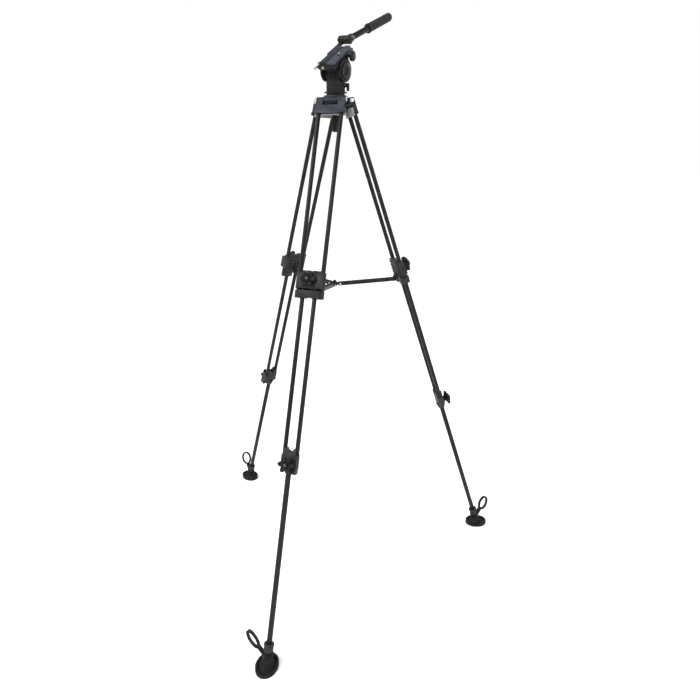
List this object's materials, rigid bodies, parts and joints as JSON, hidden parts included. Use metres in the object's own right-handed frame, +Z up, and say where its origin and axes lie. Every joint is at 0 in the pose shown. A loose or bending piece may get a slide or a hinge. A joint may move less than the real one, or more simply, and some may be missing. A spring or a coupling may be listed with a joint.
{
  "type": "video tripod with fluid head",
  "caption": "Floor-standing twin-tube video tripod with telescopic legs, folding spreader, bowl crown, levelling ball and a tilting fluid head with sliding camera plate and pan handle.",
  "frame": {"origin": "bottom centre of the whole object's bounding box, on the floor", "axes": "+Z up; the front leg points toward -Y; the head leans toward the front and its handle points toward +Y"},
  "size_m": [1.1606, 1.013, 1.9913],
  "materials": {
    "casting_blue": "slate blue-grey paint on the cast crown, yokes and head",
    "plate_grey": "pale blue-grey enamel on the camera plate",
    "tube_black": "satin black anodised tube",
    "clamp_plastic": "dark grey moulded clamp bodies",
    "knob_plastic": "dark grey moulded knobs and levers",
    "socket_metal": "bare light grey metal",
    "bright_steel": "bright steel fasteners",
    "pan_grey": "olive dark grey pan base",
    "boot_rubber": "black rubber",
    "grip_foam": "ribbed black grip",
    "rod_black": "satin black handle rod",
    "bubble_clear": "clear bubble vial"
  },
  "bodies": {
    "crown": {"crown": "casting_blue", "hinge_bolts": "bright_steel"},
    "hub": {"spreader_hub": "knob_plastic", "hub_pins": "bright_steel"},
    "front_leg": {"front_yoke": "casting_blue", "front_socket_block": "socket_metal", "front_upper_tubes": "tube_black", "front_mid_clamp": "clamp_plastic"},
    "front_mid_screw": {"front_mid_knob": "knob_plastic"},
    "front_middle": {"front_middle_tubes": "tube_black", "front_lower_clamp": "clamp_plastic"},
    "front_lower_screw": {"front_lower_knob": "knob_plastic"},
    "front_lower": {"front_lower_tube": "tube_black", "front_foot_ferrule": "clamp_plastic", "front_boot": "boot_rubber"},
    "front_arm": {"front_spreader_arm": "tube_black"},
    "right_leg": {"right_yoke": "casting_blue", "right_socket_block": "socket_metal", "right_upper_tubes": "tube_black", "right_mid_clamp": "clamp_plastic"},
    "right_mid_screw": {"right_mid_knob": "knob_plastic"},
    "right_middle": {"right_middle_tubes": "tube_black", "right_lower_clamp": "clamp_plastic"},
    "right_lower_screw": {"right_lower_knob": "knob_plastic"},
    "right_lower": {"right_lower_tube": "tube_black", "right_foot_ferrule": "clamp_plastic", "right_boot": "boot_rubber"},
    "right_arm": {"right_spreader_arm": "tube_black"},
    "left_leg": {"left_yoke": "casting_blue", "left_socket_block": "socket_metal", "left_upper_tubes": "tube_black", "left_mid_clamp": "clamp_plastic"},
    "left_mid_screw": {"left_mid_knob": "knob_plastic"},
    "left_middle": {"left_middle_tubes": "tube_black", "left_lower_clamp": "clamp_plastic"},
    "left_lower_screw": {"left_lower_knob": "knob_plastic"},
    "left_lower": {"left_lower_tube": "tube_black", "left_foot_ferrule": "clamp_plastic", "left_boot": "boot_rubber"},
    "left_arm": {"left_spreader_arm": "tube_black"},
    "ball": {"half_ball": "pan_grey", "tie_down_stud": "bright_steel", "pan_base": "pan_grey"},
    "tie_down": {"tie_down_handle": "knob_plastic"},
    "pan_lock": {"pan_lock_knob": "knob_plastic"},
    "pan": {"tilt_housing": "casting_blue"},
    "tilt": {"tilt_shaft": "bright_steel", "platform": "casting_blue", "drum_cover": "knob_plastic", "bubble_level": "bubble_clear", "handle_bracket": "socket_metal"},
    "tilt_lock": {"tilt_lock_lever": "knob_plastic"},
    "plate_lock": {"plate_lock_knob": "knob_plastic"},
    "plate": {"sliding_plate": "plate_grey"},
    "screw": {"camera_screw": "bright_steel"},
    "release": {"plate_lever": "bright_steel"},
    "handle": {"handle_clamp": "knob_plastic", "handle_rod": "rod_black", "handle_grip": "grip_foam"},
    "handle_screw": {"handle_knob": "knob_plastic"}
  },
  "joints": [
    {"name": "front_fold", "type": "hinge", "parent": "crown", "child": "front_leg", "pos_m": [0, 0.11686, 1.66], "axis": [1, 0, 0], "range_deg": [0, 16]},
    {"name": "front_middle_slide", "type": "slide", "parent": "front_leg", "child": "front_middle", "axis": [0, 0.33, 0.944], "range_m": [0, 0.45]},
    {"name": "front_lower_slide", "type": "slide", "parent": "front_middle", "child": "front_lower", "axis": [0, 0.33, 0.944], "range_m": [0, 0.46]},
    {"name": "front_mid_knob_turn", "type": "hinge", "parent": "front_leg", "child": "front_mid_screw", "pos_m": [0, -0.10122, 1.12712], "axis": [0, -0.944, 0.33], "range_deg": [-180, 180]},
    {"name": "front_lower_knob_turn", "type": "hinge", "parent": "front_middle", "child": "front_lower_screw", "pos_m": [0, -0.28868, 0.59094], "axis": [0, -0.944, 0.33], "range_deg": [-180, 180]},
    {"name": "hub_lift", "type": "slide", "parent": "crown", "child": "hub", "axis": [0, 0, 1], "range_m": [0, 0.18115]},
    {"name": "front_arm_swing", "type": "hinge", "parent": "hub", "child": "front_arm", "pos_m": [0, 0.14026, 1.0627], "axis": [1, 0, 0], "range_deg": [0, 84.3]},
    {"name": "right_fold", "type": "hinge", "parent": "crown", "child": "right_leg", "pos_m": [0.03637, 0.17986, 1.66], "axis": [-0.5, 0.866, 0], "range_deg": [0, 16]},
    {"name": "right_middle_slide", "type": "slide", "parent": "right_leg", "child": "right_middle", "axis": [-0.2858, -0.165, 0.944], "range_m": [0, 0.45]},
    {"name": "right_lower_slide", "type": "slide", "parent": "right_middle", "child": "right_lower", "axis": [-0.2858, -0.165, 0.944], "range_m": [0, 0.46]},
    {"name": "right_mid_knob_turn", "type": "hinge", "parent": "right_leg", "child": "right_mid_screw", "pos_m": [0.22524, 0.2889, 1.12712], "axis": [0.8175, 0.472, 0.33], "range_deg": [-180, 180]},
    {"name": "right_lower_knob_turn", "type": "hinge", "parent": "right_middle", "child": "right_lower_screw", "pos_m": [0.38757, 0.38262, 0.59094], "axis": [0.8175, 0.472, 0.33], "range_deg": [-180, 180]},
    {"name": "right_arm_swing", "type": "hinge", "parent": "hub", "child": "right_arm", "pos_m": [0.01611, 0.16816, 1.0627], "axis": [-0.5, 0.866, 0], "range_deg": [0, 84.3]},
    {"name": "left_fold", "type": "hinge", "parent": "crown", "child": "left_leg", "pos_m": [-0.03637, 0.17986, 1.66], "axis": [-0.5, -0.866, 0], "range_deg": [0, 16]},
    {"name": "left_middle_slide", "type": "slide", "parent": "left_leg", "child": "left_middle", "axis": [0.2858, -0.165, 0.944], "range_m": [0, 0.45]},
    {"name": "left_lower_slide", "type": "slide", "parent": "left_middle", "child": "left_lower", "axis": [0.2858, -0.165, 0.944], "range_m": [0, 0.46]},
    {"name": "left_mid_knob_turn", "type": "hinge", "parent": "left_leg", "child": "left_mid_screw", "pos_m": [-0.22524, 0.2889, 1.12712], "axis": [-0.8175, 0.472, 0.33], "range_deg": [-180, 180]},
    {"name": "left_lower_knob_turn", "type": "hinge", "parent": "left_middle", "child": "left_lower_screw", "pos_m": [-0.38757, 0.38262, 0.59094], "axis": [-0.8175, 0.472, 0.33], "range_deg": [-180, 180]},
    {"name": "left_arm_swing", "type": "hinge", "parent": "hub", "child": "left_arm", "pos_m": [-0.01611, 0.16816, 1.0627], "axis": [-0.5, -0.866, 0], "range_deg": [0, 84.3]},
    {"name": "ball_lean", "type": "hinge", "parent": "crown", "child": "ball", "pos_m": [0, 0.15886, 1.672], "axis": [0.9444, 0.3289, 0], "range_deg": [-22, 2.5]},
    {"name": "tie_down_turn", "type": "hinge", "parent": "ball", "child": "tie_down", "pos_m": [-0.00343, 0.1687, 1.61291], "axis": [0.0571, -0.164, 0.9848], "range_deg": [-180, 180]},
    {"name": "pan_turn", "type": "hinge", "parent": "ball", "child": "pan", "pos_m": [0.00314, 0.14984, 1.72616], "axis": [0.0571, -0.164, 0.9848], "continuous": true},
    {"name": "pan_lock_turn", "type": "hinge", "parent": "ball", "child": "pan_lock", "pos_m": [0.0374, 0.15985, 1.70757], "axis": [0.9803, 0.1962, -0.0242], "range_deg": [-40, 40]},
    {"name": "tilt_turn", "type": "hinge", "parent": "pan", "child": "tilt", "pos_m": [0.00451, 0.1459, 1.7498], "axis": [0.9725, -0.2139, -0.092], "range_deg": [-60, 40]},
    {"name": "tilt_lock_turn", "type": "hinge", "parent": "tilt", "child": "tilt_lock", "pos_m": [-0.03439, 0.15446, 1.75348], "axis": [0.9725, -0.2139, -0.092], "range_deg": [-30, 60]},
    {"name": "plate_lock_turn", "type": "hinge", "parent": "tilt", "child": "plate_lock", "pos_m": [0.05321, 0.16232, 1.79156], "axis": [0.9725, -0.2139, -0.092], "range_deg": [-180, 180]},
    {"name": "plate_slide", "type": "slide", "parent": "tilt", "child": "plate", "axis": [0.2293, 0.8102, 0.5395], "range_m": [-0.03, 0.03]},
    {"name": "camera_screw_turn", "type": "hinge", "parent": "plate", "child": "screw", "pos_m": [0.02093, 0.13129, 1.78886], "axis": [-0.0409, -0.5457, 0.837], "continuous": true},
    {"name": "release_turn", "type": "hinge", "parent": "tilt", "child": "release", "pos_m": [-0.03857, 0.1112, 1.76091], "axis": [-0.0409, -0.5457, 0.837], "range_deg": [-70, 5]},
    {"name": "handle_swing", "type": "hinge", "parent": "tilt", "child": "handle", "pos_m": [0.01323, 0.23367, 1.85525], "axis": [0.9725, -0.2139, -0.092], "range_deg": [-20, 60]},
    {"name": "handle_knob_turn", "type": "hinge", "parent": "tilt", "child": "handle_screw", "pos_m": [-0.01205, 0.23924, 1.85764], "axis": [0.9725, -0.2139, -0.092], "range_deg": [-180, 180]}
  ],
  "couplings": [
    {"joint": "hub_lift", "follows": "front_fold", "m_per_rad": 0.6487},
    {"joint": "front_arm_swing", "follows": "front_fold", "ratio": 5.2686},
    {"joint": "right_fold", "follows": "front_fold", "ratio": 1},
    {"joint": "right_arm_swing", "follows": "front_fold", "ratio": 5.2686},
    {"joint": "left_fold", "follows": "front_fold", "ratio": 1},
    {"joint": "left_arm_swing", "follows": "front_fold", "ratio": 5.2686}
  ]
}
